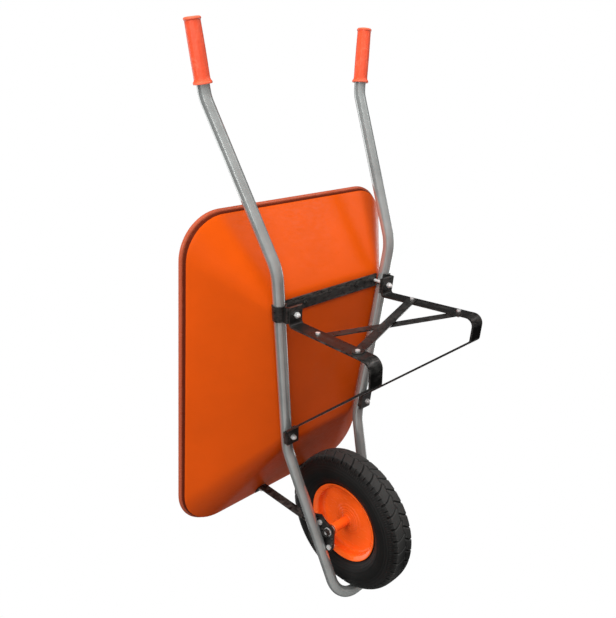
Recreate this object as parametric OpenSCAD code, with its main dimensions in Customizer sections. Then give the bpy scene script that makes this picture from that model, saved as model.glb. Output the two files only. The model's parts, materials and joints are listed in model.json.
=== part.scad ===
// Builder's wheelbarrow: bent tube frame, pressed steel tray, strip legs and a pneumatic wheel.
// Standing on its wheel and two feet: Z = 0 is the ground, X is the width, -Y is the way it rolls.

/* [Node] */
// Sub-part to draw, or all of them

/* [Frame tube] */
// Outer diameter of the frame tube
tube_d = 30; // [28:0.5:32]
// Wall of the frame tube
tube_wall = 2; // [1.5:0.5:3]
// Half the spacing of the two handle ends
handle_half_spacing = 278; // [270:1:290]
// Height of the handle ends over the rails
handle_rise = 221; // [200:1:240]
// Distance of the handle ends behind the rear bend
handle_reach = 522; // [500:1:540]
// Radius of the bends at the two ends of the rails
rail_bend_radius = 110; // [90:5:130]
// Slope of the front part of the frame, in degrees
nose_slope = 21.6; // [20:0.1:23]

/* [Tray] */
// Outside width of the tray rim
tray_width = 702; // [690:2:720]
// Outside length of the tray rim
tray_length = 910; // [900:2:920]
// Radius of the two rear corners of the rim
tray_corner_radius = 113; // [100:1:125]
// Radius of the two front corners of the rim
tray_front_radius = 125; // [100:1:160]
// Sheet of the tray
tray_sheet = 1.6; // [1.2:0.1:2]
// Diameter of the rolled bead
bead_d = 12; // [11:0.5:13]

/* [Legs and braces] */
// Width of the leg strips
leg_width = 40; // [36:1:42]
// Thickness of the leg strips
leg_thickness = 5; // [4:0.5:6]
// Width of the cross braces
brace_width = 25; // [20:1:28]

/* [Wheel] */
// Outside diameter of the tyre
tyre_d = 396; // [390:1:400]
// Width of the tyre
tyre_width = 94; // [90:1:98]
// Diameter of the rim over its lips
rim_d = 226; // [220:1:230]
// Diameter of the axle
axle_d = 12; // [10:1:14]
// Radial clearance of the bearings on the axle
axle_clearance = 0.05; // [0.02:0.01:0.1]
// Number of tread blocks round the tyre
tread_blocks = 36; // [24:2:40]

/* [Hidden] */
$fn = 48;
fit = 0.05;
// Straight pieces run this far into a bend, which is fuller by the skin all round
lap = 0.4;
skin = 0.05;
tube_r = tube_d / 2;

// The rails rise towards the nose by this angle when the barrow stands
pitch = 1.37;
// Moves the middle of the whole barrow onto Y = 0
shift_y = 216.0;

// Corners of the frame's centre line, left side, with Z measured from the rails
handle_end = [handle_half_spacing, handle_reach, handle_rise];
grip_bend = [257.7, 362.6, 201.7];
rear_bend = [203.1, 0, 0];
front_bend = [138.5, -508, 0];
nose_run = 472;
nose_x = 75;
nose_corner = [nose_x, front_bend.y - nose_run * cos(nose_slope), -nose_run * sin(nose_slope)];

// Tray
floor_z = tube_r + 0.02;
rim_y0 = 114;
rim_y1 = rim_y0 - tray_length;
rim_rear_z = 173;
rim_tilt = -1.4;
flange_h = 15;
bottom_rear_y = -79;
bottom_front_y = -502;
bottom_rear_x = 196;
bottom_front_x = 138;
bottom_r = 34;

// Rear leg bolt and tab
tab_bolt = [169.5, -103, 0];
tab_z = -31;
// Foot of the leg and front tab
foot_x = 191;
front_bolt_y = -456;
front_bolt_x = rear_bend.x - (rear_bend.x - front_bend.x) * front_bolt_y / front_bend.y;

// Axle
axle_y = -734;
axle_z = -122.8;
plate_out = 86;
plate_t = 4;
axle_half = 96;
hub_half = 70;
hub_r = 13;

// ---------- helpers ----------

function unit(v) = v / norm(v);

// Height of the ground under the rails' own frame, at a distance y from the rear bend
function ground(y) = (-rails_h + y * sin(pitch)) / cos(pitch);

// Height of the rails' frame, so that the tyre touches the ground
rails_h = tyre_d / 2 + axle_y * sin(pitch) - axle_z * cos(pitch);

// A point of the nose plane, u along the slope from the front bend and h above the centre line
function nose_pt(u, h) = [
    front_bend.y - u * cos(nose_slope) - h * sin(nose_slope),
    -u * sin(nose_slope) + h * cos(nose_slope)
];

// Stands the rails' frame on the ground
module placed() {
    translate([0, shift_y, rails_h])
        rotate([-pitch, 0, 0])
            children();
}

module right() {
    mirror([1, 0, 0])
        children();
}

// The child, and its mirror image
module both() {
    children();
    mirror([1, 0, 0])
        children();
}

// Puts local X, Y and Z on three given axes at a point
module axes(o, ax, ay, az) {
    multmatrix([
        [ax.x, ay.x, az.x, o.x],
        [ax.y, ay.y, az.y, o.y],
        [ax.z, ay.z, az.z, o.z],
        [0, 0, 0, 1]
    ])
        children();
}

// Turns local Z onto X
module along_x() {
    rotate([0, 90, 0])
        children();
}

// Frame of the axle, local Z along X
module at_axle() {
    translate([0, axle_y, axle_z])
        along_x()
            children();
}

// Frame of the nose plane: local -Y runs down the slope, local Z is its normal
module nose_frame() {
    translate([0, front_bend.y, 0])
        rotate([nose_slope, 0, 0])
            children();
}

// Frame on the left rail, local Y along the rail
module rail_frame(y) {
    yaw = atan((rear_bend.x - front_bend.x) / (rear_bend.y - front_bend.y));
    x = rear_bend.x + y * tan(yaw);
    translate([x, y, 0])
        rotate([0, 0, -yaw])
            children();
}

// Straight length of tube between two points
module tube_run(a, b, d, bore) {
    az = unit(b - a);
    side = abs(az.z) < 0.9 ? [0, 0, 1] : [1, 0, 0];
    ax = unit(cross(side, az));
    axes(a, ax, cross(az, ax), az)
        difference() {
            cylinder(h = norm(b - a), d = d);
            translate([0, 0, -1])
                cylinder(h = norm(b - a) + 2, d = bore);
        }
}

// Bend of a tube at a corner, of centre-line radius r
module tube_bend(p, a, b, r, d, bore) {
    phi = acos(a * b);
    n = unit(b - (a * b) * a);
    start = p - a * r * tan(phi / 2);
    axes(start + n * r, -n, a, cross(-n, a))
        rotate_extrude(angle = phi, $fn = 96)
            translate([r, 0])
                difference() {
                    circle(d = d);
                    circle(d = bore);
                }
}

// Tube through a list of corners, with a bend radius for every inner corner
module tube_path(p, r, d, bore) {
    n = len(p);
    dir = [for (i = [0:n - 2]) unit(p[i + 1] - p[i])];
    cut = [for (i = [0:n - 1]) i == 0 || i == n - 1 ? 0 : r[i] * tan(acos(dir[i - 1] * dir[i]) / 2)];
    for (i = [0:n - 2]) {
        from = i == 0 ? 0 : cut[i] - lap;
        to = i == n - 2 ? 0 : cut[i + 1] - lap;
        tube_run(p[i] + dir[i] * from, p[i + 1] - dir[i] * to, d, bore);
    }
    for (i = [1:n - 2])
        tube_bend(p[i], dir[i - 1], dir[i], r[i], d + 2 * skin, bore - 2 * skin);
}

// Strip of thickness t and width w along X, bent through a list of [y, z] corners
module strip_path(p, r, t, w) {
    n = len(p);
    q = [for (i = [0:n - 1]) [0, p[i].x, p[i].y]];
    dir = [for (i = [0:n - 2]) unit(q[i + 1] - q[i])];
    cut = [for (i = [0:n - 1]) i == 0 || i == n - 1 ? 0 : r[i] * tan(acos(dir[i - 1] * dir[i]) / 2)];
    for (i = [0:n - 2]) {
        a = q[i] + dir[i] * (i == 0 ? 0 : cut[i] - lap);
        b = q[i + 1] - dir[i] * (i == n - 2 ? 0 : cut[i + 1] - lap);
        axes(a, [1, 0, 0], cross(dir[i], [1, 0, 0]), dir[i])
            translate([-w / 2, -t / 2, 0])
                cube([w, t, norm(b - a)]);
    }
    for (i = [1:n - 2]) {
        a = dir[i - 1];
        b = dir[i];
        phi = acos(a * b);
        m = unit(b - (a * b) * a);
        start = q[i] - a * r[i] * tan(phi / 2);
        axes(start + m * r[i], -m, a, cross(-m, a))
            rotate_extrude(angle = phi, $fn = 64)
                translate([r[i] - t / 2 - skin, -w / 2 - skin])
                    square([t + 2 * skin, w + 2 * skin]);
    }
}

// Outline of the rim, x by y, with corners smaller than the bead's own by c
module rim_outline(x, y, c) {
    a = tray_front_radius - c;
    b = tray_corner_radius - c;
    square([x - 2 * a, y], center = true);
    translate([-x / 2, a - y / 2])
        square([x, y - a - b]);
    translate([b - x / 2, 0])
        square([x - 2 * b, y / 2]);
    for (i = [-1, 1], j = [-1, 1])
        translate([i * (x / 2 - rim_radius(j) + c), j * (y / 2 - rim_radius(j) + c)])
            circle(r = rim_radius(j) - c, $fn = 96);
}

// Hexagon nut with a plain bore, standing on Z = 0
module hex_nut(af, h, bore) {
    difference() {
        cylinder(h = h, d = af / cos(30), $fn = 6);
        translate([0, 0, -1])
            cylinder(h = h + 2, d = bore);
    }
}

// Carriage bolt: dome on top of Z = 0, shank down to -l
module carriage_bolt(d, l) {
    translate([0, 0, -l])
        cylinder(h = l, d = d);
    intersection() {
        translate([0, 0, 2.6 - d * 1.6])
            sphere(r = d * 1.6, $fn = 64);
        cylinder(h = 5, d = d * 2.1);
    }
}

// Cap nut hanging under Z = 0, with a blind bore
module cap_nut(af, bore) {
    difference() {
        union() {
            translate([0, 0, -6.5])
                cylinder(h = 6.5, d = af / cos(30), $fn = 6);
            translate([0, 0, -6.5])
                sphere(d = af * 0.92, $fn = 48);
        }
        translate([0, 0, -9])
            cylinder(h = 20, d = bore);
        translate([-20, -20, 0])
            cube([40, 40, 20]);
    }
}

// ---------- frame ----------

module frame_tube() {
    left = [handle_end, grip_bend, rear_bend, front_bend, nose_corner];
    mir = [for (i = [len(left) - 1:-1:0]) [-left[i].x, left[i].y, left[i].z]];
    corners = concat(left, mir);
    radii = [0, 70, rail_bend_radius, rail_bend_radius, 78, 78, rail_bend_radius, rail_bend_radius, 70, 0];
    color("silver")
        placed()
            difference() {
                tube_path(corners, radii, tube_d, tube_d - 2 * tube_wall);
                both()
                    translate([front_bolt_x, front_bolt_y, -tube_d])
                        cylinder(h = tube_d, d = 8.4);
            }
}

module grip_body() {
    a = unit(grip_bend - handle_end);
    ax = unit(cross([0, 0, 1], a));
    axes(handle_end - a * 4, ax, cross(a, ax), a)
        difference() {
            union() {
                cylinder(h = 2.5, d1 = 34, d2 = 39);
                translate([0, 0, 2.5])
                    cylinder(h = 4.5, d = 39);
                translate([0, 0, 7])
                    cylinder(h = 122, d1 = 36.4, d2 = 37.4);
                translate([0, 0, 129])
                    cylinder(h = 4, d1 = 37.4, d2 = 44);
                translate([0, 0, 133])
                    cylinder(h = 5, d = 44);
            }
            translate([0, 0, 4])
                cylinder(h = 160, d = tube_d + 2 * fit);
        }
}

module grip_left() {
    color("tomato")
        placed()
            grip_body();
}

module grip_right() {
    color("tomato")
        placed()
            right()
                grip_body();
}

// ---------- tray ----------

// Frame of the tray rim, Z = 0 in the plane of the bead
module rim_frame() {
    translate([0, rim_y0, rim_rear_z])
        rotate([rim_tilt, 0, 0])
            translate([0, -tray_length / 2, 0])
                children();
}

// Corner radius of the rim at its rear (1) and front (-1) end
function rim_radius(j) = j > 0 ? tray_corner_radius : tray_front_radius;

// Body of the tray: its outline at the floor inset by s0, and at the skirt inset by s1 and h high
module tray_body(s0, s1, low, h) {
    hull() {
        for (i = [-1, 1]) {
            translate([i * (bottom_rear_x - bottom_r), bottom_rear_y - bottom_r, low])
                cylinder(h = 0.5, r = bottom_r - s0, $fn = 32);
            translate([i * (bottom_front_x - bottom_r), bottom_front_y + bottom_r, low])
                cylinder(h = 0.5, r = bottom_r - s0, $fn = 32);
        }
        rim_frame()
            for (i = [-1, 1], j = [-1, 1])
                translate([
                    i * (tray_width / 2 - bead_d / 2 - rim_radius(j) + 4),
                    j * (tray_length / 2 - bead_d / 2 - rim_radius(j) + 4),
                    -flange_h
                ])
                    cylinder(h = h, r = rim_radius(j) - 4 - s1, $fn = 32);
    }
}

module tray() {
    wx = tray_width - bead_d;
    wy = tray_length - bead_d;
    color("orangered")
        placed() {
            difference() {
                tray_body(0, 0.4, floor_z, 1);
                tray_body(0.5, 0.4 + 1.4 * tray_sheet, floor_z + tray_sheet, 4);
                both() {
                    translate([tab_bolt.x, tab_bolt.y, 0])
                        cylinder(h = 30, d = 8.4);
                    translate([95, tab_bolt.y, 0])
                        cylinder(h = 30, d = 6.4);
                    stay_top_frame()
                        translate([0, 0, -10])
                            cylinder(h = 30, d = 6.4);
                }
            }
            rim_frame() {
                translate([0, 0, -flange_h + 0.4])
                    linear_extrude(flange_h - bead_d / 2 + 0.1)
                        difference() {
                            rim_outline(wx, wy, 4);
                            rim_outline(wx - 2 * tray_sheet, wy - 2 * tray_sheet, 4 + tray_sheet);
                        }
                bead(bead_d, bead_d - 3.2);
            }
        }
}

// Ring of round section along the rim, bored by another
module bead(d, bore) {
    x = tray_width / 2 - bead_d / 2;
    y = tray_length / 2 - bead_d / 2;
    front = tray_front_radius - bead_d / 2;
    rear = tray_corner_radius - bead_d / 2;
    for (i = [-1, 1]) {
        r = i > 0 ? rear : front;
        translate([i * x, front - y - lap, 0])
            rotate([-90, 0, 0])
                bead_run(2 * y - front - rear + 2 * lap, d, bore);
        translate([-(x - r) - lap, i * y, 0])
            rotate([0, 90, 0])
                bead_run(2 * (x - r + lap), d, bore);
    }
    for (k = [0:3]) {
        r = k < 2 ? rear : front;
        translate([(k == 0 || k == 3 ? 1 : -1) * (x - r), (k < 2 ? 1 : -1) * (y - r), 0])
            rotate([0, 0, 90 * k])
                rotate_extrude(angle = 90, $fn = 96)
                    translate([r, 0])
                        difference() {
                            circle(d = d + 2 * skin, $fn = 24);
                            if (bore > 0)
                                circle(d = bore - 2 * skin, $fn = 24);
                        }
    }
}

module bead_run(l, d, bore) {
    difference() {
        cylinder(h = l, d = d, $fn = 24);
        if (bore > 0)
            translate([0, 0, -1])
                cylinder(h = l + 2, d = bore, $fn = 24);
    }
}

module rim_wire() {
    color("dimgray")
        placed()
            rim_frame()
                bead(bead_d - 3.4, 0);
}

// ---------- cross-member and clamps ----------

module rear_cross_member() {
    color("dimgray")
        placed()
            difference() {
                translate([-176, tab_bolt.y - 17.5, floor_z - 4.02])
                    cube([352, 35, 4]);
                both()
                    translate([tab_bolt.x, tab_bolt.y, 0])
                        cylinder(h = 30, d = 8.4);
                both()
                    translate([95, tab_bolt.y, 0])
                        cylinder(h = 30, d = 6.4);
            }
}

module cross_member_bolts() {
    color("gainsboro")
        placed()
            both()
                translate([95, tab_bolt.y, floor_z + tray_sheet + fit])
                    carriage_bolt(6, 15);
}

module cross_member_nuts() {
    color("gainsboro")
        placed()
            both()
                translate([95, tab_bolt.y, floor_z - 9.1])
                    hex_nut(10, 5, 6.1);
}

module rear_clamp() {
    band = 3;
    in_r = tube_r + fit;
    difference() {
        union() {
            rail_frame(tab_bolt.y)
                rotate([90, 0, 0])
                    rotate([0, 0, -150])
                        rotate_extrude(angle = 196, $fn = 96)
                            translate([in_r, -20])
                                square([band, 40]);
            translate([tab_bolt.x - 25, tab_bolt.y - 20, tab_z])
                cube([49, 40, 4]);
            translate([tab_bolt.x + 20, tab_bolt.y - 20, tab_z])
                cube([4, 40, 14.5]);
        }
        translate([tab_bolt.x, tab_bolt.y, tab_z - 1])
            cylinder(h = 12, d = 8.4);
        rail_frame(tab_bolt.y)
            rotate([90, 0, 0])
                cylinder(h = 80, r = in_r, center = true);
    }
}

module rear_clamp_left() {
    color("black")
        placed()
            rear_clamp();
}

module rear_clamp_right() {
    color("black")
        placed()
            right()
                rear_clamp();
}

module front_saddle() {
    difference() {
        rail_frame(front_bolt_y)
            translate([-20, -18, -tube_r - 4])
                cube([40, 36, 8]);
        rail_frame(front_bolt_y)
            rotate([90, 0, 0])
                cylinder(h = 80, r = tube_r + fit, center = true);
        translate([front_bolt_x, front_bolt_y, -40])
            cylinder(h = 60, d = 8.4);
    }
}

module front_saddle_left() {
    color("black")
        placed()
            front_saddle();
}

module front_saddle_right() {
    color("black")
        placed()
            right()
                front_saddle();
}

// ---------- legs ----------

// Sideways lean of the leg: x = lean0 + lean_y * y + lean_z * z on its middle
lean_y = 0.07147;
lean_z = -0.09139;
lean0 = 173.85;
leg_top_y = -131;
leg_low_y = -110;

module leg_strip() {
    t = leg_thickness;
    foot_a = [leg_low_y, ground(leg_low_y) + t / 2];
    foot_b = [-170, ground(-170) + t / 2];
    flat = tab_z - t / 2;
    front = -tube_r - 4 - t / 2;
    lean = sqrt(1 + lean_y * lean_y + lean_z * lean_z);
    ax = [1, -lean_y, -lean_z] / lean;
    ay = unit(cross([0, 0, 1], ax));
    difference() {
        intersection() {
            strip_path(
                [[-82, flat], [leg_top_y, flat], foot_a, foot_b, [front_bolt_y + 22, front], [front_bolt_y - 22, front]],
                [0, 9, 22, 9, 10, 0], t, 700
            );
            axes([lean0, 0, 0], ax, ay, cross(ax, ay))
                translate([-leg_width / lean / 2, -700, -500])
                    cube([leg_width / lean, 1400, 1000]);
        }
        translate([tab_bolt.x, tab_bolt.y, flat - 10])
            cylinder(h = 20, d = 8.4);
        translate([front_bolt_x, front_bolt_y, front - 10])
            cylinder(h = 20, d = 8.4);
        for (z = [-1, 1])
            brace_frame()
                translate([brace_x(z), 0, z * brace_z])
                    rotate([90, 0, 0])
                        cylinder(h = 30, d = 6.4, center = true);
    }
}

module leg_left() {
    color("black")
        placed()
            intersection() {
                leg_strip();
                translate([0, -800, -500])
                    cube([500, 1000, 600]);
            }
}

module leg_right() {
    color("black")
        placed()
            right()
                intersection() {
                    leg_strip();
                    translate([0, -800, -500])
                        cube([500, 1000, 600]);
                }
}

module leg_bolts_rear() {
    color("gainsboro")
        placed()
            both()
                translate([tab_bolt.x, tab_bolt.y, floor_z + tray_sheet + fit])
                    carriage_bolt(8, floor_z + tray_sheet - tab_z + leg_thickness + 7);
}

module leg_nuts_rear() {
    color("white")
        placed()
            both()
                translate([tab_bolt.x, tab_bolt.y, tab_z - leg_thickness - 0.05])
                    cap_nut(13, 8.1);
}

module leg_bolts_front() {
    color("gainsboro")
        placed()
            both()
                translate([front_bolt_x, front_bolt_y, -9.6])
                    carriage_bolt(8, tube_r - 9.6 + 4 + leg_thickness + 7);
}

module leg_nuts_front() {
    color("white")
        placed()
            both()
                translate([front_bolt_x, front_bolt_y, -tube_r - 4 - leg_thickness - 0.05])
                    cap_nut(13, 8.1);
}

// ---------- cross braces ----------

// Half the height between the brace bolts, and the mean height of the braces
brace_z = 67;
brace_mid = -182;

// Frame on the rear part of the legs: local Y is square to the strips, local Z runs up them
module brace_frame() {
    a = atan((leg_low_y - leg_top_y) / (tab_z - leg_thickness - ground(leg_low_y)));
    t = (brace_mid - tab_z + leg_thickness / 2) / (ground(leg_low_y) - tab_z + leg_thickness);
    translate([0, leg_top_y + (leg_low_y - leg_top_y) * t, brace_mid])
        rotate([a, 0, 0])
            children();
}

// Distance of the brace bolts from the middle, at the top (1) and at the foot (-1)
function brace_x(s) = s > 0 ? 175 : 190;

module brace(y0, t) {
    p = [brace_x(-1), -brace_z];
    q = [-brace_x(1), brace_z];
    l = norm(q - p);
    a = atan2(q.y - p.y, q.x - p.x);
    brace_frame()
        translate([0, y0, 0])
            rotate([90, 0, 0])
                mirror([0, 0, 1])
                    translate([p.x, p.y, 0])
                        rotate([0, 0, a])
                            difference() {
                                union() {
                                    translate([0, -brace_width / 2, 0])
                                        cube([l, brace_width, t]);
                                    cylinder(h = t, d = brace_width);
                                    translate([l, 0, 0])
                                        cylinder(h = t, d = brace_width);
                                }
                                translate([0, 0, -1])
                                    cylinder(h = t + 2, d = 6.4);
                                translate([l, 0, -1])
                                    cylinder(h = t + 2, d = 6.4);
                            }
}

module cross_brace_lower() {
    color("black")
        placed()
            brace(leg_thickness / 2 + fit, 3);
}

module cross_brace_upper() {
    color("black")
        placed()
            right()
                brace(-leg_thickness / 2 - fit - 3, 3);
}

module brace_bolts() {
    t = leg_thickness / 2;
    color("white")
        placed()
            brace_frame()
                for (s = [-1, 1], m = [-1, 1]) {
                    out = s * m < 0 ? t + 3 + 2 * fit : t + fit;
                    back = s * m < 0 ? t + fit : t + 3 + 2 * fit;
                    translate([m * brace_x(s), 0, s * brace_z])
                        rotate([-90, 0, 0]) {
                            translate([0, 0, out])
                                cylinder(h = 4, d = 10 / cos(30), $fn = 6);
                            translate([0, 0, -back - 7])
                                cylinder(h = out + back + 7, d = 6);
                        }
                }
}

module brace_nuts() {
    t = leg_thickness / 2;
    color("white")
        placed()
            brace_frame()
                for (s = [-1, 1], m = [-1, 1]) {
                    back = s * m < 0 ? t + fit : t + 3 + 2 * fit;
                    translate([m * brace_x(s), -back, s * brace_z])
                        rotate([90, 0, 0])
                            hex_nut(10, 5, 6.1);
                }
}

// ---------- front stays ----------

panel_a = [bottom_front_y, floor_z];
panel_b = [
    rim_y0 - (tray_length - bead_d / 2) * cos(rim_tilt) - flange_h * sin(-rim_tilt),
    rim_rear_z + (tray_length - bead_d / 2) * sin(-rim_tilt) - flange_h * cos(rim_tilt)
];
panel_dir = unit(panel_b - panel_a);
stay_x = 85;
stay_t = 4;
stay_w = 26;
stay_s = 294;

// A point outside the front panel, s up the slope and d away from it
function panel_pt(s, d) = panel_a + panel_dir * s + [-panel_dir.y, panel_dir.x] * d;

// Frame on the front panel at the stay bolt, local Z towards the inside of the tray
module stay_top_frame() {
    p = panel_a + panel_dir * stay_s;
    translate([stay_x, p.x, p.y])
        rotate([-atan2(panel_dir.y, -panel_dir.x), 0, 0])
            children();
}

module front_stay() {
    off = stay_t / 2 + 0.6;
    translate([stay_x, 0, 0])
        difference() {
            strip_path(
                [nose_pt(288, tube_r + 4.1 + stay_t / 2), nose_pt(240, tube_r + 4.1 + stay_t / 2),
                    panel_pt(stay_s - 15, off), panel_pt(stay_s + 16, off)],
                [0, 8, 8, 0], stay_t, stay_w
            );
            translate([-stay_x, 0, 0])
                stay_top_frame()
                    cylinder(h = 30, d = 6.4, center = true);
        }
}

module front_stay_left() {
    color("black")
        placed()
            front_stay();
}

module front_stay_right() {
    color("black")
        placed()
            right()
                front_stay();
}

module stay_bolts() {
    color("gainsboro")
        placed()
            both()
                stay_top_frame()
                    translate([0, 0, tray_sheet + 0.4])
                        carriage_bolt(6, 15);
}

module stay_nuts() {
    color("white")
        placed()
            both()
                stay_top_frame()
                    translate([0, 0, -stay_t - 0.7 - 5])
                        hex_nut(10, 5, 6.1);
}

// ---------- axle brackets ----------

// The axle and the two bracket bolts, as distances down and above the nose slope
axle_nose = [
    -(axle_y - front_bend.y) * cos(nose_slope) - axle_z * sin(nose_slope),
    -(axle_y - front_bend.y) * sin(nose_slope) + axle_z * cos(nose_slope)
];
bolt_a = [232, -8];
bolt_b = [302, -23];

module axle_bracket() {
    difference() {
        union() {
            translate([plate_out - plate_t, 0, 0])
                nose_frame()
                    rotate([90, 0, -90])
                        mirror([0, 0, 1])
                            linear_extrude(plate_t)
                                bracket_outline();
            // Flange over the top of the tube
            nose_frame()
                translate([plate_out - plate_t, -316, tube_r + fit])
                    linear_extrude(4)
                        polygon([[0, 0], [24, 0], [32, 52], [28, 104], [0, 104]]);
        }
        nose_tube_seat();
        bracket_hole(axle_nose, axle_d + 0.4);
        bracket_hole(bolt_a, 8.4);
        bracket_hole(bolt_b, 8.4);
    }
}

module bracket_hole(p, d) {
    nose_frame()
        translate([plate_out, -p.x, p.y])
            along_x()
                cylinder(h = 30, d = d, center = true);
}

module bracket_outline() {
    polygon([
        [212, tube_r + 4.05], [209, -16], [238, -38], [axle_nose.x + 8, axle_nose.y - 11.5],
        [301, -33], [314, -27], [316, tube_r + 4.05]
    ]);
    translate(axle_nose)
        circle(r = 14);
}

// Bore for the tube in the nose plane, so that a plate seats round it
module nose_tube_seat() {
    az = unit(nose_corner - front_bend);
    ax = unit(cross([0, 0, 1], az));
    axes(front_bend, ax, cross(az, ax), az)
        cylinder(h = nose_run, r = tube_r + fit);
}

module axle_bracket_left() {
    color("black")
        placed()
            axle_bracket();
}

module axle_bracket_right() {
    color("black")
        placed()
            right()
                axle_bracket();
}

module keeper_plate() {
    difference() {
        translate([plate_out - plate_t - 4.05, 0, 0])
            nose_frame()
                rotate([90, 0, -90])
                    mirror([0, 0, 1])
                        linear_extrude(4)
                            hull() {
                                translate(bolt_a)
                                    circle(r = 10, $fn = 32);
                                translate(bolt_b)
                                    circle(r = 10, $fn = 32);
                                translate(axle_nose)
                                    circle(r = 18, $fn = 32);
                            }
        bracket_hole(axle_nose, axle_d + 0.4);
        bracket_hole(bolt_a, 8.4);
        bracket_hole(bolt_b, 8.4);
    }
}

module keeper_plate_left() {
    color("dimgray")
        placed()
            keeper_plate();
}

module keeper_plate_right() {
    color("dimgray")
        placed()
            right()
                keeper_plate();
}

module bracket_bolts() {
    color("white")
        placed()
            both()
                for (p = [bolt_a, bolt_b])
                    nose_frame()
                        translate([plate_out + fit, -p.x, p.y])
                            along_x() {
                                cylinder(h = 5.3, d = 13 / cos(30), $fn = 6);
                                translate([0, 0, -16])
                                    cylinder(h = 16, d = 8);
                            }
}

module bracket_nuts() {
    color("gainsboro")
        placed()
            both()
                for (p = [bolt_a, bolt_b])
                    nose_frame()
                        translate([plate_out - plate_t - 4.1 - 6.5, -p.x, p.y])
                            along_x()
                                hex_nut(13, 6.5, 8.1);
}

// ---------- axle ----------

module axle() {
    color("gainsboro")
        placed()
            at_axle() {
                cylinder(h = 2 * axle_half - 2, d = axle_d, center = true);
                for (s = [0, 1])
                    mirror([0, 0, s])
                        translate([0, 0, axle_half - 1])
                            cylinder(h = 1, d1 = axle_d, d2 = axle_d - 2);
            }
}

module axle_nuts() {
    color("white")
        placed()
            at_axle()
                for (s = [0, 1])
                    mirror([0, 0, s])
                        translate([0, 0, plate_out + 2.6])
                            hex_nut(19, 10, axle_d + 0.1);
}

module axle_washers() {
    color("gainsboro")
        placed()
            at_axle()
                for (s = [0, 1], w = [[plate_out + 0.05, 2.5, 12], [hub_half + 0.1, plate_out - plate_t - 4.1 - hub_half - 0.1, 10]])
                    mirror([0, 0, s])
                        translate([0, 0, w[0]])
                            difference() {
                                cylinder(h = w[1], r = w[2]);
                                translate([0, 0, -1])
                                    cylinder(h = 10, d = axle_d + 0.2);
                            }
}

// ---------- wheel ----------

module hub() {
    color("orangered")
        placed()
            at_axle()
                difference() {
                    union() {
                        cylinder(h = 2 * hub_half, r = hub_r, center = true);
                        for (s = [0, 1])
                            mirror([0, 0, s])
                                translate([0, 0, hub_half - 5])
                                    cylinder(h = 5, r = hub_r + 2);
                    }
                    cylinder(h = 200, r = 11, center = true);
                }
}

module bearing(s) {
    color("dimgray")
        placed()
            at_axle()
                mirror([0, 0, s])
                    translate([0, 0, hub_half - 16])
                        difference() {
                            cylinder(h = 16, r = 11 - 0.03);
                            translate([0, 0, -1])
                                cylinder(h = 20, r = axle_d / 2 + axle_clearance);
                        }
}

module bearing_left() {
    bearing(0);
}

module bearing_right() {
    bearing(1);
}

lip_r = rim_d / 2;
seat_r = lip_r - 12;

// Half section of one rim shell: X is the radius, Y is the distance from the middle of the wheel
module rim_section() {
    polygon([
        [hub_r + 0.03, 10], [hub_r + 0.03, 12.2], [24, 11.5], [40, 6.5], [60, 4.2], [seat_r - 10, 2.6],
        [seat_r - 4, 4], [seat_r - 2.2, 8], [seat_r - 2.2, 25], [lip_r - 6, 29.5], [lip_r - 2, 31.5],
        [lip_r, 30], [lip_r - 0.6, 27.5], [lip_r - 5, 26], [seat_r, 22.5], [seat_r, 7],
        [seat_r - 2.5, 2], [seat_r - 8, 0.1], [60, 2], [40, 4.4], [24, 9.3]
    ]);
}

// Frame of the valve, local Z outwards along it
module at_valve() {
    at_axle()
        rotate([0, 0, 40])
            translate([0, 0, -15])
                rotate([0, 90, 0])
                    children();
}

module rim_left() {
    color("orangered")
        placed()
            at_axle()
                rotate_extrude($fn = 120)
                    rim_section();
}

module rim_right() {
    color("orangered")
        placed()
            difference() {
                at_axle()
                    mirror([0, 0, 1])
                        rotate_extrude($fn = 120)
                            rim_section();
                at_valve()
                    cylinder(h = 200, d = 11);
            }
}

// Half width of the tyre at a share s of the height from the lip of the rim to the tread
function tyre_half(s) = tyre_width / 2 * pow(sin(180 * (0.14 + 0.72 * s)), 0.6);

// Half width of the hollow in the tyre, w at its widest, at a share s of its height
function hollow_half(w, s) = w * pow(sin(180 * (0.08 + 0.84 * s)), 0.6);

// Closed section of a hollow of half width w between two radii
module hollow_section(w, r0, r1) {
    n = 12;
    out = [for (i = [0:n]) [r0 + (r1 - r0) * i / n, hollow_half(w, i / n)]];
    back = [for (i = [n:-1:0]) [out[i].x, -out[i].y]];
    polygon(concat(out, back));
}

module tyre_section() {
    n = 14;
    foot = [
        [seat_r + 0.05, 22.2], [lip_r - 5.1, 25.7], [lip_r - 1, 27], [lip_r + 0.2, 27.2], [lip_r + 0.8, 28]
    ];
    wall = [for (i = [0:n]) [lip_r + 2 + (tyre_d / 2 - lip_r - 9) * i / n, tyre_half(i / n)]];
    crown = [[tyre_d / 2 - 2.2, tyre_half(1) * 0.86], [tyre_d / 2, tyre_half(1) * 0.65]];
    side = concat(foot, wall, crown);
    m = len(side) - 1;
    mir = [for (i = [m:-1:0]) [side[i].x, -side[i].y]];
    polygon(concat(side, mir));
}

module tyre() {
    color("black")
        placed()
            difference() {
                at_axle()
                    rotate_extrude($fn = 120)
                        difference() {
                            tyre_section();
                            hollow_section(tyre_width / 2 - 8, seat_r + 7, tyre_d / 2 - 11);
                            translate([tyre_d / 2 - 3, -1.5])
                                square([10, 3]);
                        }
                at_axle()
                    for (i = [0:tread_blocks - 1], s = [-1, 1])
                        rotate([0, 0, (i + s * 0.25) * 360 / tread_blocks])
                            translate([tyre_d / 2 - 4.5, -1.5, s > 0 ? 5 : -45])
                                cube([20, 3, 40]);
                at_valve()
                    cylinder(h = seat_r + 12, d = 11);
            }
}

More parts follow.
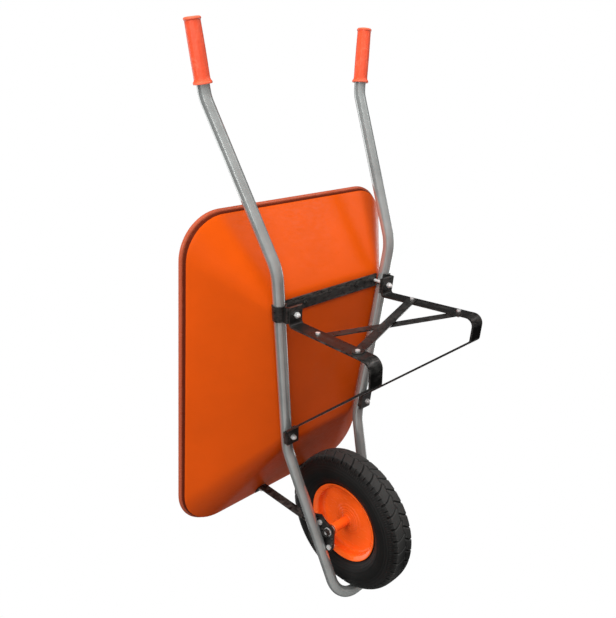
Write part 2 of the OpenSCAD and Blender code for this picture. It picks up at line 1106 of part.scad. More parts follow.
module inner_tube() {
    color("dimgray")
        placed()
            difference() {
                at_axle()
                    rotate_extrude($fn = 120)
                        difference() {
                            hollow_section(tyre_width / 2 - 10.5, seat_r + 8.5, tyre_d / 2 - 12.5);
                            offset(delta = -2.5)
                                hollow_section(tyre_width / 2 - 10.5, seat_r + 8.5, tyre_d / 2 - 12.5);
                        }
                at_valve()
                    cylinder(h = seat_r + 16, d = 8.2);
            }
}

module valve_stem() {
    color("black")
        placed()
            at_valve() {
                translate([0, 0, seat_r - 26])
                    cylinder(h = 36, d = 8);
                translate([0, 0, seat_r - 8])
                    cylinder(h = 5.5, d = 14);
            }
}

module valve_cap() {
    color("black")
        placed()
            at_valve()
                translate([0, 0, seat_r - 32])
                    difference() {
                        cylinder(h = 14, d = 10.5);
                        translate([0, 0, 5.95])
                            cylinder(h = 20, d = 8.1);
                    }
}

// ---------- drawing ----------

frame_tube();
grip_left();
grip_right();
tray();
rim_wire();
rear_cross_member();
cross_member_bolts();
cross_member_nuts();
rear_clamp_left();
rear_clamp_right();
front_saddle_left();
front_saddle_right();
leg_left();
leg_right();
leg_bolts_rear();
leg_nuts_rear();
leg_bolts_front();
leg_nuts_front();
cross_brace_lower();
cross_brace_upper();
brace_bolts();
brace_nuts();
front_stay_left();
front_stay_right();
stay_bolts();
stay_nuts();
axle_bracket_left();
axle_bracket_right();
keeper_plate_left();
keeper_plate_right();
bracket_bolts();
bracket_nuts();
axle();
axle_nuts();
axle_washers();
hub();
bearing_left();
bearing_right();
rim_left();
rim_right();
tyre();
inner_tube();
valve_stem();
valve_cap();
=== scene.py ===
import json
import math

import bmesh
import bpy
import numpy as np
from mathutils import Matrix, Vector


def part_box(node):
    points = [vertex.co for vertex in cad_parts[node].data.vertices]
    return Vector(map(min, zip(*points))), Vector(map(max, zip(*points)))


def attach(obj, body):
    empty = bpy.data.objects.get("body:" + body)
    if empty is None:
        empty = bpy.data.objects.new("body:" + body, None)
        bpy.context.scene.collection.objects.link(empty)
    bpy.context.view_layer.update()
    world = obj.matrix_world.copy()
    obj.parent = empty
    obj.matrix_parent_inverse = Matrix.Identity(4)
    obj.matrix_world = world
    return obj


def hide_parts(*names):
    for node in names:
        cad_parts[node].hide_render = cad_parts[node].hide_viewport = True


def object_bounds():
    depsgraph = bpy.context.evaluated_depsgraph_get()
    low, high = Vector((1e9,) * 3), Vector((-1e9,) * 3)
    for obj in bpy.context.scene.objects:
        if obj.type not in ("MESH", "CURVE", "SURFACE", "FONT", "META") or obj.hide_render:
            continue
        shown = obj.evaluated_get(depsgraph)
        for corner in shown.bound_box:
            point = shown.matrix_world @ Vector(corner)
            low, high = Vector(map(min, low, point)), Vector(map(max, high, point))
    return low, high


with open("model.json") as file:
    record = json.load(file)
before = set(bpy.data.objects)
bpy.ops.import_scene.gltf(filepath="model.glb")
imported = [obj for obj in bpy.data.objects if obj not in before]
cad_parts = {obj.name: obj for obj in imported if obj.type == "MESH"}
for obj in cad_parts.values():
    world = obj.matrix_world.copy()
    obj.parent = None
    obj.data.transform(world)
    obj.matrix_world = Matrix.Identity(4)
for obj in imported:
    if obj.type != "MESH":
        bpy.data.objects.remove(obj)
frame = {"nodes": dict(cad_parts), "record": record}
cad_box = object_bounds()
MM = 0.001
TAU = 2 * math.pi

# ------------------------------------------------------------------ frames

# The axle is in the middle of the tyre's own box, and the rails' frame hangs on it: the straight part of the
# rails lies along its Y, its origin is between the rear bends, and it is pitched a little nose-down.
tyre_lo, tyre_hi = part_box("tyre")
AXLE = (np.array(tyre_lo) + np.array(tyre_hi)) / 2
TYRE_R = (tyre_hi.z - tyre_lo.z) / 2
PITCH = math.radians(1.37)
AXLE_IN_RAILS = np.array([0, -734, -122.8])
COS_P, SIN_P = math.cos(PITCH), math.sin(PITCH)
RAIL_TO_ROW = np.array([[1, 0, 0], [0, COS_P, SIN_P], [0, -SIN_P, COS_P]])
RAIL_ORIGIN = AXLE - RAIL_TO_ROW @ (AXLE_IN_RAILS * MM)


def rail(p):
    """Points in the rails' frame, in millimetres, as row-frame metres."""
    return np.asarray(p, float) * MM @ RAIL_TO_ROW.T + RAIL_ORIGIN


# ------------------------------------------------------------------ mesh helpers


def mesh_object(name, verts, faces, sharp=40.0):
    """A linked object with smooth faces, and hard edges where they turn by more than sharp degrees."""
    me = bpy.data.meshes.new(name)
    me.from_pydata([tuple(v) for v in verts], [], [tuple(int(i) for i in f) for f in faces])
    me.update()
    bm = bmesh.new()
    bm.from_mesh(me)
    bmesh.ops.recalc_face_normals(bm, faces=bm.faces)
    mark_sharp(bm, sharp)
    bm.to_mesh(me)
    bm.free()
    ob = bpy.data.objects.new(name, me)
    bpy.context.scene.collection.objects.link(ob)
    return ob


def mark_sharp(bm, degrees):
    """Smooth faces, with every edge that turns by more than this left hard."""
    limit = math.radians(degrees)
    for f in bm.faces:
        f.smooth = True
    for e in bm.edges:
        e.smooth = len(e.link_faces) == 2 and e.calc_face_angle(0.0) < limit


def grid_faces(n, m, wrap_n=True, wrap_m=False):
    """Quads of an n by m grid of points, stored row by row."""
    out = []
    for i in range(n if wrap_n else n - 1):
        a, b = i * m, ((i + 1) % n) * m
        for j in range(m if wrap_m else m - 1):
            k = (j + 1) % m
            out.append((a + j, a + k, b + k, b + j))
    return out


def join(parts):
    """One vertex and face list from several."""
    vs, fs, base = [], [], 0
    for v, f in parts:
        vs.append(np.asarray(v, float))
        fs += [tuple(i + base for i in face) for face in f]
        base += len(v)
    return np.vstack(vs), fs


def revolve(profile, n):
    """A closed profile of (radius, x) in millimetres, turned round the axle."""
    a = np.arange(n) * TAU / n
    r, x = np.array(profile, float).T
    v = np.stack(
        [np.tile(x, (n, 1)), np.outer(np.cos(a), r), np.outer(np.sin(a), r)], -1
    ).reshape(-1, 3)
    return v * MM + AXLE, grid_faces(n, len(profile), True, True)


def fillet(points, radii, steps=6):
    """A closed outline through 2-D corners, each one rounded by its own radius."""
    p = np.array(points, float)
    out = []
    for i in range(len(p)):
        a, b, c = p[i - 1], p[i], p[(i + 1) % len(p)]
        u, w = a - b, c - b
        lu, lw = np.linalg.norm(u), np.linalg.norm(w)
        d = min(radii[i], lu * 0.45, lw * 0.45)
        if d < 1e-6:
            out.append(b)
            continue
        p0, p1 = b + u / lu * d, b + w / lw * d
        for t in np.linspace(0, 1, steps):
            out.append((1 - t) ** 2 * p0 + 2 * t * (1 - t) * b + t * t * p1)
    return np.array(out)


# Hardware that is painted black, whatever metal it is made of
FINISH = dict.fromkeys(("axle_nuts", "cross_member_bolts", "cross_member_nuts"), "black_steel")


def polish(node, width, angle, body):
    """A copy of a CAD node with welded, smoothly shaded faces and rounded edges, width in millimetres."""
    src = frame["nodes"][node]
    bm = bmesh.new()
    bm.from_mesh(src.data)
    bmesh.ops.remove_doubles(bm, verts=bm.verts, dist=2e-6)
    bmesh.ops.dissolve_limit(bm, angle_limit=math.radians(0.6), verts=bm.verts, edges=bm.edges)
    bmesh.ops.recalc_face_normals(bm, faces=bm.faces)
    mark_sharp(bm, angle)
    me = bpy.data.meshes.new(node + "_finish")
    bm.to_mesh(me)
    bm.free()
    ob = bpy.data.objects.new(node + "_finish", me)
    bpy.context.scene.collection.objects.link(ob)
    m = ob.modifiers.new("edges", "BEVEL")
    m.width = width * MM
    m.segments = 2
    m.limit_method = "ANGLE"
    m.angle_limit = math.radians(angle)
    m.harden_normals = True
    m.use_clamp_overlap = True
    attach(ob, body)
    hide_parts(node)
    ob.data.materials.append(MATS[FINISH.get(node, SLOT[node])])


def place(ob, body, material, node):
    """A new piece stands for a CAD node, on its body and with its slot."""
    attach(ob, body)
    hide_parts(node)
    ob.data.materials.append(material)


# ------------------------------------------------------------------ materials


# Sockets of the Mix node's colour form
MIX_FAC, MIX_A, MIX_B, MIX_OUT = 0, 6, 7, 2


class Nodes:
    """Short-hand for building a material's node tree."""

    def __init__(self, name):
        self.mat = bpy.data.materials.new(name)
        self.mat.use_nodes = True
        self.t = self.mat.node_tree
        self.t.nodes.clear()
        self.bsdf = self.add("ShaderNodeBsdfPrincipled")
        self.link(self.bsdf, "BSDF", self.add("ShaderNodeOutputMaterial"), "Surface")
        self.co = self.add("ShaderNodeTexCoord")

    def add(self, kind, **props):
        n = self.t.nodes.new(kind)
        for k, v in props.items():
            setattr(n, k, v)
        return n

    def link(self, a, i, b, j):
        self.t.links.new(a.outputs[i], b.inputs[j])

    def noise(self, scale, detail=4.0, rough=0.55, stretch=None, distortion=0.0):
        n = self.add("ShaderNodeTexNoise")
        n.inputs["Scale"].default_value = scale
        n.inputs["Detail"].default_value = detail
        n.inputs["Roughness"].default_value = rough
        n.inputs["Distortion"].default_value = distortion
        if stretch:
            m = self.add("ShaderNodeMapping")
            m.inputs["Scale"].default_value = stretch
            self.link(self.co, "Object", m, "Vector")
            self.link(m, "Vector", n, "Vector")
        else:
            self.link(self.co, "Object", n, "Vector")
        return n

    def ramp(self, src, out, stops):
        """A colour between two stops of (position, colour)."""
        r = self.add("ShaderNodeValToRGB")
        for el, (pos, col) in zip(r.color_ramp.elements, stops):
            el.position = pos
            el.color = (*col, 1.0)
        self.link(src, out, r, "Fac")
        return r

    def spread(self, src, out, lo, hi, a=0.3, b=0.7):
        """The range a to b of a value, mapped to lo to hi."""
        m = self.add("ShaderNodeMapRange")
        m.inputs["From Min"].default_value = a
        m.inputs["From Max"].default_value = b
        m.inputs["To Min"].default_value = lo
        m.inputs["To Max"].default_value = hi
        self.link(src, out, m, "Value")
        return m

    def mix(self, fac, fac_out, a, b):
        """From the colour of a, a pair of node and output, to the plain colour b."""
        m = self.add("ShaderNodeMix", data_type="RGBA", blend_type="MIX")
        self.link(fac, fac_out, m, MIX_FAC)
        self.link(*a, m, MIX_A)
        m.inputs[MIX_B].default_value = (*b, 1.0)
        return m

    def times(self, src, out, factor):
        """A value times a number, or times another (node, output)."""
        m = self.add("ShaderNodeMath", operation="MULTIPLY")
        self.link(src, out, m, 0)
        if isinstance(factor, tuple):
            self.link(*factor, m, 1)
        else:
            m.inputs[1].default_value = factor
        return m

    def bump(self, *layers):
        """Layers are (node, output, strength, distance)."""
        prev = None
        for node, out, strength, distance in layers:
            b = self.add("ShaderNodeBump")
            b.inputs["Strength"].default_value = strength
            b.inputs["Distance"].default_value = distance
            self.link(node, out, b, "Height")
            if prev:
                self.link(prev, "Normal", b, "Normal")
            prev = b
        self.link(prev, "Normal", self.bsdf, "Normal")

    def edges(self, lo=0.52, hi=0.60):
        """1 on convex edges, 0 elsewhere."""
        g = self.add("ShaderNodeNewGeometry")
        return self.spread(g, "Pointiness", 0.0, 1.0, lo, hi)

    def set(self, **values):
        """Constants on the shader's own sockets."""
        for k, v in values.items():
            self.bsdf.inputs[k.replace("_", " ")].default_value = v


def scaled(col, k):
    """A colour made lighter or darker."""
    return tuple(min(1.0, c * k) for c in col)


def paint(name, col, rough, edge_wear_and_highlight_colour, edge_wear_and_highlight, level, coat=0.0, grime=(0.10, 0.05, 0.03), peel=0.12, dirt=0.10):
    """Sprayed or powder-coated paint: orange peel, handling marks, dust, and lighter edges that are partly
    rubbed paint and partly a painted highlight.
    """
    n = Nodes(name)
    big = n.noise(5.0, 3.0)
    fine = n.noise(900.0, 2.0, 0.5)
    scuff = n.noise(60.0, 6.0, 0.65, stretch=(1.0, 3.0, 1.0), distortion=0.6)
    base = n.ramp(big, "Fac", [(0.32, scaled(col, 0.93)), (0.68, scaled(col, 1.05))])
    dirty = n.spread(scuff, "Fac", 0.0, dirt, 0.60, 0.78)
    body = n.mix(dirty, "Result", (base, "Color"), grime)
    # convex edges lightened in spots: rubbed paint, and on some paints a painted highlight
    wear_and_highlight_spots = n.spread(scuff, "Fac", 0.0, edge_wear_and_highlight, 0.42, 0.60)
    worn_and_highlit_edges = n.times(n.edges(), "Result", (wear_and_highlight_spots, "Result"))
    top = n.mix(worn_and_highlit_edges, "Value", (body, MIX_OUT), edge_wear_and_highlight_colour)
    n.link(top, MIX_OUT, n.bsdf, "Base Color")
    r = n.spread(scuff, "Fac", rough * 0.85, min(1.0, rough * 1.5), 0.35, 0.75)
    n.link(r, "Result", n.bsdf, "Roughness")
    n.bump((fine, "Fac", peel, 0.0002), (scuff, "Fac", 0.06, 0.0003))
    n.set(Coat_Weight=coat, Coat_Roughness=0.08, Specular_IOR_Level=level)
    return n.mat


STAIN = (0.34, 0.36, 0.33)


def steel(name, col, rough, along=(1.0, 1.0, 1.0), spots=0.3, metal=1.0):
    """Zinc-plated steel: streaks, cloudy plating and small dark stains."""
    n = Nodes(name)
    cloud = n.noise(14.0, 5.0, 0.6)
    streak = n.noise(240.0, 3.0, 0.6, stretch=along)
    stain = n.noise(85.0, 7.0, 0.7, distortion=0.8)
    base = n.ramp(cloud, "Fac", [(0.30, scaled(col, 0.82)), (0.70, scaled(col, 1.06))])
    dark = n.spread(stain, "Fac", 0.0, spots, 0.58, 0.74)
    body = n.mix(dark, "Result", (base, "Color"), STAIN)
    n.link(body, MIX_OUT, n.bsdf, "Base Color")
    r = n.spread(streak, "Fac", rough * 0.75, rough * 1.35, 0.3, 0.7)
    n.link(r, "Result", n.bsdf, "Roughness")
    n.bump((streak, "Fac", 0.10, 0.0001), (stain, "Fac", 0.05, 0.0002))
    n.set(Metallic=metal)
    return n.mat


def plastic(name, col, rough, light):
    """Moulded plastic: fine grain, and a lighter bloom where hands and edges rub."""
    n = Nodes(name)
    big = n.noise(22.0, 4.0)
    grain = n.noise(1400.0, 3.0, 0.6)
    rub = n.noise(45.0, 5.0, 0.6, distortion=1.0)
    base = n.ramp(big, "Fac", [(0.3, scaled(col, 0.90)), (0.7, scaled(col, 1.08))])
    worn = n.spread(rub, "Fac", 0.0, 0.25, 0.52, 0.75)
    body = n.mix(worn, "Result", (base, "Color"), light)
    soft = n.times(n.edges(0.51, 0.58), "Result", 0.5)
    top = n.mix(soft, "Value", (body, MIX_OUT), light)
    n.link(top, MIX_OUT, n.bsdf, "Base Color")
    r = n.spread(rub, "Fac", rough * 0.8, rough * 1.3, 0.3, 0.7)
    n.link(r, "Result", n.bsdf, "Roughness")
    n.bump((grain, "Fac", 0.15, 0.0001), (rub, "Fac", 0.04, 0.0004))
    return n.mat


def rubber(name, col, rough, dust, level=0.4, tread=False):
    """Rubber: fine grain, dusty edges, and where asked a tread that is greyer than the wall."""
    n = Nodes(name)
    big = n.noise(9.0, 5.0, 0.6)
    fine = n.noise(700.0, 4.0, 0.7)
    base = n.ramp(big, "Fac", [(0.3, scaled(col, 0.7)), (0.7, scaled(col, 1.5))])
    soft = n.times(n.edges(0.50, 0.60), "Result", 0.5)
    top = n.mix(soft, "Value", (base, "Color"), dust)
    if tread:
        # by the distance from the axle
        away = n.add("ShaderNodeVectorMath", operation="SUBTRACT")
        n.link(n.co, "Object", away, 0)
        away.inputs[1].default_value = tuple(AXLE)
        flat = n.add("ShaderNodeVectorMath", operation="MULTIPLY")
        n.link(away, "Vector", flat, 0)
        flat.inputs[1].default_value = (0, 1, 1)
        far = n.add("ShaderNodeVectorMath", operation="LENGTH")
        n.link(flat, "Vector", far, 0)
        worn = n.spread(far, "Value", 0.0, 0.42, TYRE_R - 0.012, TYRE_R - 0.001)
        top = n.mix(worn, "Result", (top, MIX_OUT), dust)
    n.link(top, MIX_OUT, n.bsdf, "Base Color")
    r = n.spread(fine, "Fac", rough * 0.85, min(1, rough * 1.2), 0.3, 0.7)
    n.link(r, "Result", n.bsdf, "Roughness")
    n.set(Specular_IOR_Level=level)
    n.bump((fine, "Fac", 0.25, 0.0002), (big, "Fac", 0.05, 0.001))
    return n.mat


MATS = {
    "tray_paint": paint("tray_orange", (0.61, 0.073, 0.002), 0.36, (0.50, 0.12, 0.04), 0.15, 0.11),
    # The bead: the tray's paint drawn darker and browner as a painted shade, its pale pink edges partly a
    # painted highlight
    "bead": paint("bead_orange_painted_shade_and_highlight", (0.40, 0.075, 0.030), 0.28, (0.62, 0.30, 0.22), 0.3, 0.35),
    # The sheet beside the bead: near-black orange, a painted shade under the bead
    "bead_shade": paint("painted_bead_shade", (0.085, 0.010, 0.003), 0.40, (0.40, 0.16, 0.10), 0.2, 0.1, dirt=0.25),
    # Rim: its pale rubbed edges are partly a painted highlight along the lip
    "rim_paint": paint("rim_orange", (1.0, 0.125, 0.012), 0.22, (0.95, 0.50, 0.32), 0.5, 0.3,
                       coat=0.25, dirt=0.08),
    # Black steel: its light grey rubbed edges are partly painted highlights
    "black_steel": paint("satin_black", (0.010, 0.0095, 0.009), 0.30, (0.30, 0.29, 0.27), 0.22, 0.4,
                         grime=(0.028, 0.024, 0.020), peel=0.2, dirt=0.35),
    "tube": steel("zinc_tube", (0.47, 0.49, 0.48), 0.15, along=(1.0, 0.05, 1.0), metal=0.65),
    "dark_steel": steel("plain_steel", (0.20, 0.20, 0.20), 0.45),
    "bolt_steel": steel("bolt_zinc", (0.93, 0.93, 0.92), 0.30, spots=0.10, metal=0.6),
    "grip": plastic("grip_orange", (0.72, 0.080, 0.030), 0.38, (0.95, 0.30, 0.18)),
    "bush": plastic("black_nylon", (0.02, 0.02, 0.02), 0.5, (0.06, 0.06, 0.06)),
    "cap": plastic("black_cap", (0.015, 0.015, 0.015), 0.5, (0.05, 0.05, 0.05)),
    "tyre": rubber("tyre_rubber", (0.0045, 0.0045, 0.0043), 0.55, (0.085, 0.085, 0.082), 0.35, tread=True),
    "butyl": rubber("butyl_rubber", (0.015, 0.015, 0.015), 0.6, (0.05, 0.05, 0.05)),
}
SLOT = {s["node"]: s["material_slot"] for s in frame["record"]["subparts"]}
for node, ob in frame["nodes"].items():
    ob.data.materials.clear()
    ob.data.materials.append(MATS[SLOT[node]])

# ------------------------------------------------------------------ frame tube

# The left half in the rails' frame: handle end, bend below the grip, rear bend, front bend, nose corner
TUBE_R, NOSE_RUN, NOSE_SLOPE = 15.0, 472, math.radians(21.6)
HANDLE_END, GRIP_BEND = [278, 522, 221], [257.7, 362.6, 201.7]
REAR_BEND, FRONT_BEND = [203.1, 0, 0], [138.5, -508, 0]
NOSE_CORNER = [75, -508 - NOSE_RUN * math.cos(NOSE_SLOPE), -NOSE_RUN * math.sin(NOSE_SLOPE)]
TUBE_LEFT = [HANDLE_END, GRIP_BEND, REAR_BEND, FRONT_BEND, NOSE_CORNER]
TUBE_CORNERS = TUBE_LEFT + [[-x, y, z] for x, y, z in reversed(TUBE_LEFT)]
BEND_RADII = [0, 70, 110, 110, 78]
TUBE_RADII = BEND_RADII + BEND_RADII[::-1]
ARC_STEP = 6.0


def smooth_path(points, radii):
    """Pairs of point and direction, along the straights and arcs through a list of corners."""
    p = [np.array(q, float) for q in points]
    d = [(b - a) / np.linalg.norm(b - a) for a, b in zip(p, p[1:])]
    out = [(p[0], d[0])]
    for i in range(1, len(p) - 1):
        a, b = d[i - 1], d[i]
        phi = math.acos(float(a @ b))
        cut = radii[i] * math.tan(phi / 2)
        s = p[i] - a * cut
        n = b - (a @ b) * a
        n /= np.linalg.norm(n)
        c = s + n * radii[i]
        k = max(4, int(phi * radii[i] / ARC_STEP) + 1)
        for t in np.linspace(0, phi, k + 1):
            out.append((c - n * radii[i] * math.cos(t) + a * radii[i] * math.sin(t),
                        a * math.cos(t) + n * math.sin(t)))
    out.append((p[-1], d[-1]))
    return out


def sweep(path, radius, sides):
    """A round bar along a path, with flat ends, in the path's units."""
    rows = []
    u = np.cross(path[0][1], (0, 0, 1))
    u /= np.linalg.norm(u)
    for c, t in path:
        u = u - (u @ t) * t
        u /= np.linalg.norm(u)
        w = np.cross(t, u)
        a = np.arange(sides) * TAU / sides
        rows.append(c + radius * (np.outer(np.cos(a), u) + np.outer(np.sin(a), w)))
    n = len(rows)
    faces = grid_faces(n, sides, False, True)
    faces += [tuple(range(sides)), tuple(n * sides - 1 - i for i in range(sides))]
    return np.vstack(rows), faces


v, f = sweep(smooth_path(TUBE_CORNERS, TUBE_RADII), TUBE_R, 40)
place(mesh_object("frame_tube_finish", rail(v), f, 50), "chassis", MATS["tube"], "frame_tube")

# ------------------------------------------------------------------ grips


GRIP_CAP, FLUTES, RING_PITCH = 4, 12, 9.75
FLUTED = (9.5, 127)


def grip_mesh(side):
    """Moulded grip: end cap, fluted barrel that swells a little, and a flared collar."""
    h, g = np.array(HANDLE_END, float), np.array(GRIP_BEND)
    a = (g - h) / np.linalg.norm(g - h)
    o = h - a * GRIP_CAP
    u = np.cross([0, 0, 1.0], a)
    u /= np.linalg.norm(u)
    w = np.cross(a, u)
    # (radius, distance from the end), in millimetres: outside, then back along the bore
    prof = [
        (0.0, 0.0), (8.0, 0.0), (14.5, 0.15), (17.2, 0.7), (18.7, 1.8), (19.4, 3.2),
        (19.45, 5.0), (19.2, 6.2), (18.3, 7.0), (17.9, 7.6), (17.8, 9.0),
    ]
    prof += [(17.85 + 0.5 * math.sin(math.pi * t) + 0.5 * t, 9 + 117 * t) for t in np.linspace(0.02, 1, 40)]
    prof += [
        (18.5, 127.5), (19.0, 129.5), (20.0, 131.4), (21.3, 132.8), (21.9, 134.2), (21.95, 136.2),
        (21.6, 137.5), (20.6, 138.0), (17.0, 138.0), (15.1, 137.9), (15.1, 120.0), (15.1, 6.0), (0.0, 6.0),
    ]
    n = 72
    rows = []
    for k in range(n):
        t = k * TAU / n
        pts = []
        for r, s in prof:
            if FLUTED[0] < s < FLUTED[1] and r > 17:
                fade = min(1.0, (s - FLUTED[0]) / 8, (FLUTED[1] - s) / 8)
                r -= 0.42 * fade * (0.5 - 0.5 * math.cos(FLUTES * t)) ** 2
                r -= 0.16 * fade * (0.5 - 0.5 * math.cos(TAU * s / RING_PITCH))
            pts.append(o + a * s + r * (math.cos(t) * u + math.sin(t) * w))
        rows.append(pts)
    v = np.array(rows).reshape(-1, 3)
    v[:, 0] *= side
    return rail(v), grid_faces(n, len(prof), True, False)


for side, name in ((1, "left"), (-1, "right")):
    v, f = grip_mesh(side)
    ob = mesh_object(f"grip_{name}_moulded", v, f, 45)
    place(ob, "chassis", MATS["grip"], f"grip_{name}")

# ------------------------------------------------------------------ tray

TRAY_W, TRAY_L, REAR_CORNER, FRONT_CORNER = 702.0, 910.0, 113.0, 125.0
BEAD, SHEET, SKIRT = 12.0, 1.6, 15.0
# The rim's plane passes through this Y and Z at its rear edge, and is tilted
RIM_Y0, RIM_Z0, TILT = 114.0, 173.0, math.radians(-1.4)
COS_T, SIN_T = math.cos(TILT), math.sin(TILT)
FLOOR_Z, FLOOR_REAR, FLOOR_FRONT, FLOOR_BEND = 15.02, -79, -502, 14
# Floor corners as (centre x, centre y, radius)
FLOOR_CORNERS = [(162, -113, 34), (-162, -113, 34), (-104, -468, 34), (104, -468, 34)]
# Points along each corner, side and end of the pressed sheet, and of the rolled bead
SHEET_POINTS, BEAD_POINTS, BEAD_SIDES = (14, 26, 22), (20, 24, 20), 20
# The sheet's rows beside the bead, painted near-black as the bead's shade
BEAD_SHADE_ROWS = 4


def rim_point(x, y, z):
    """Rim-frame point, origin in the middle of the rim, as a rail-frame one."""
    y = y - TRAY_L / 2
    return np.array([x, RIM_Y0 + y * COS_T - z * SIN_T, RIM_Z0 + y * SIN_T + z * COS_T])


def outline(corners, arc, side_n, end_n):
    """Closed outline, counter-clockwise from the middle of the +X side, with its outward normals.

    The four corners are (centre x, centre y, radius), the rear left one first.
    """
    arcs = []
    for k, (cx, cy, r) in enumerate(corners):
        t = math.radians(90 * k) + np.linspace(0, math.pi / 2, arc + 1)
        arcs.append([
            np.array([cx + r * math.cos(q), cy + r * math.sin(q), math.cos(q), math.sin(q)]) for q in t
        ])
    pts = []
    for k in range(4):
        pts += arcs[k]
        nxt = arcs[(k + 1) % 4][0]
        n = end_n if k % 2 == 0 else side_n
        for q in np.linspace(0, 1, n + 1)[1:-1]:
            pts.append(arcs[k][-1] * (1 - q) + nxt * q)
    return np.array(pts)


def rim_corners(cut):
    """Corners of the rim outline, every radius smaller than the outer one by the cut."""
    out = []
    for i, j in ((1, 1), (-1, 1), (-1, -1), (1, -1)):
        r = REAR_CORNER if j > 0 else FRONT_CORNER
        out.append((i * (TRAY_W / 2 - r), j * (TRAY_L / 2 - r), r - cut))
    return out


def tray_layers(offset):
    """Rows of points from the floor up to the skirt, offset inwards by the sheet where asked."""
    top = outline(rim_corners(BEAD / 2), *SHEET_POINTS)
    low = outline(FLOOR_CORNERS, *SHEET_POINTS)
    n = len(top)
    p1 = np.array([rim_point(q[0] - 0.4 * q[2], q[1] - 0.4 * q[3], -SKIRT) for q in top])
    p0 = np.column_stack([low[:, 0], low[:, 1], np.full(n, FLOOR_Z)])
    up = np.array([0, -SIN_T, COS_T])
    rows = []
    # the floor, from its middle outwards
    centre = np.array([0, (FLOOR_REAR + FLOOR_FRONT) / 2, FLOOR_Z])
    inner = p0 - np.column_stack([low[:, 2:4] * FLOOR_BEND, np.zeros(n)])
    for k in (0.0, 0.25, 0.5, 0.75, 0.93):
        rows.append(centre + (inner - centre) * k)
    # the bend up into the wall, the wall, and the bend up into the skirt
    d = p1 - p0
    length = np.linalg.norm(d, axis=1)[:, None]
    a = p0 + d / length * FLOOR_BEND
    for t in np.linspace(0, 1, 6):
        rows.append((1 - t) ** 2 * inner + 2 * t * (1 - t) * p0 + t * t * a)
    b = p1 - d / length * 9
    for t in np.linspace(0, 1, 15)[1:-1]:
        rows.append(a * (1 - t) + b * t)
    c = p1 + up * 5
    for t in np.linspace(0, 1, 6):
        rows.append((1 - t) ** 2 * b + 2 * t * (1 - t) * p1 + t * t * c)
    rows.append(p1 + up * 9.0)
    g = np.array(rows)
    if offset:
        du = np.roll(g, -1, 1) - np.roll(g, 1, 1)
        dv = np.gradient(g, axis=0)
        nn = np.cross(du, dv)
        ln = np.linalg.norm(nn, axis=2, keepdims=True)
        nn = np.divide(nn, ln, out=np.zeros_like(nn), where=ln > 1e-9)
        nn[:5] = [0, 0, -1.0]
        if nn[-2, 0, 0] < 0:
            nn[5:] *= -1
        g = g - nn * offset
    return g


def tray_sheet():
    """The pressed sheet: its outside up to the skirt, then its inside back down."""
    outer = tray_layers(0.0)
    inner = tray_layers(SHEET)
    m, n = outer.shape[:2]
    grid = np.vstack([outer.reshape(-1, 3), inner[::-1].reshape(-1, 3)])
    return rail(grid), grid_faces(2 * m, n, False, True)


def tray_bead():
    """The rolled edge, a round section along the rim."""
    ring = outline(rim_corners(BEAD / 2), *BEAD_POINTS)
    r = BEAD / 2
    rows = []
    for x, y, nx, ny in ring:
        for k in range(BEAD_SIDES):
            t = k * TAU / BEAD_SIDES
            rows.append(rim_point(x + nx * r * math.cos(t), y + ny * r * math.cos(t), r * math.sin(t)))
    return rail(np.array(rows)), grid_faces(len(ring), BEAD_SIDES, True, True)


sheet_part = tray_sheet()
v, f = join([sheet_part, tray_bead()])
tray = mesh_object("tray_pressed", v, f, 38)
place(tray, "chassis", MATS["tray_paint"], "tray")
tray.data.materials.append(MATS["bead"])
tray.data.materials.append(MATS["bead_shade"])
outer_rows, cols = tray_layers(0.0).shape[:2]
last = (outer_rows - 1) * cols
# bead faces get the darker bead paint, a painted shade and highlight; the sheet's rows under the bead get a
# painted shade
for face in tray.data.polygons:
    if face.index >= len(sheet_part[1]):
        face.material_index = 1
    elif last - BEAD_SHADE_ROWS * cols <= face.index < last:
        face.material_index = 2

# ------------------------------------------------------------------ wheel

# Outside radius, radius of the rim's lip and of the tyre's seat on it, and half the tyre's width
R = TYRE_R / MM
LIP = 113.0
SEAT = LIP - 12
HALF_W = 47.0
BARS = 36
BAR_DEPTH, MIDDLE_DEPTH, NOTCH_DEPTH = 5.0, 4.2, 2.8


def near(phase, pitch):
    """Distance in millimetres, along the tread, from the nearest whole phase."""
    return np.minimum(phase, 1 - phase) * pitch * R


def ring_line(at, width):
    """A raised ring with a soft section."""
    return np.exp(-(at / width) ** 2)


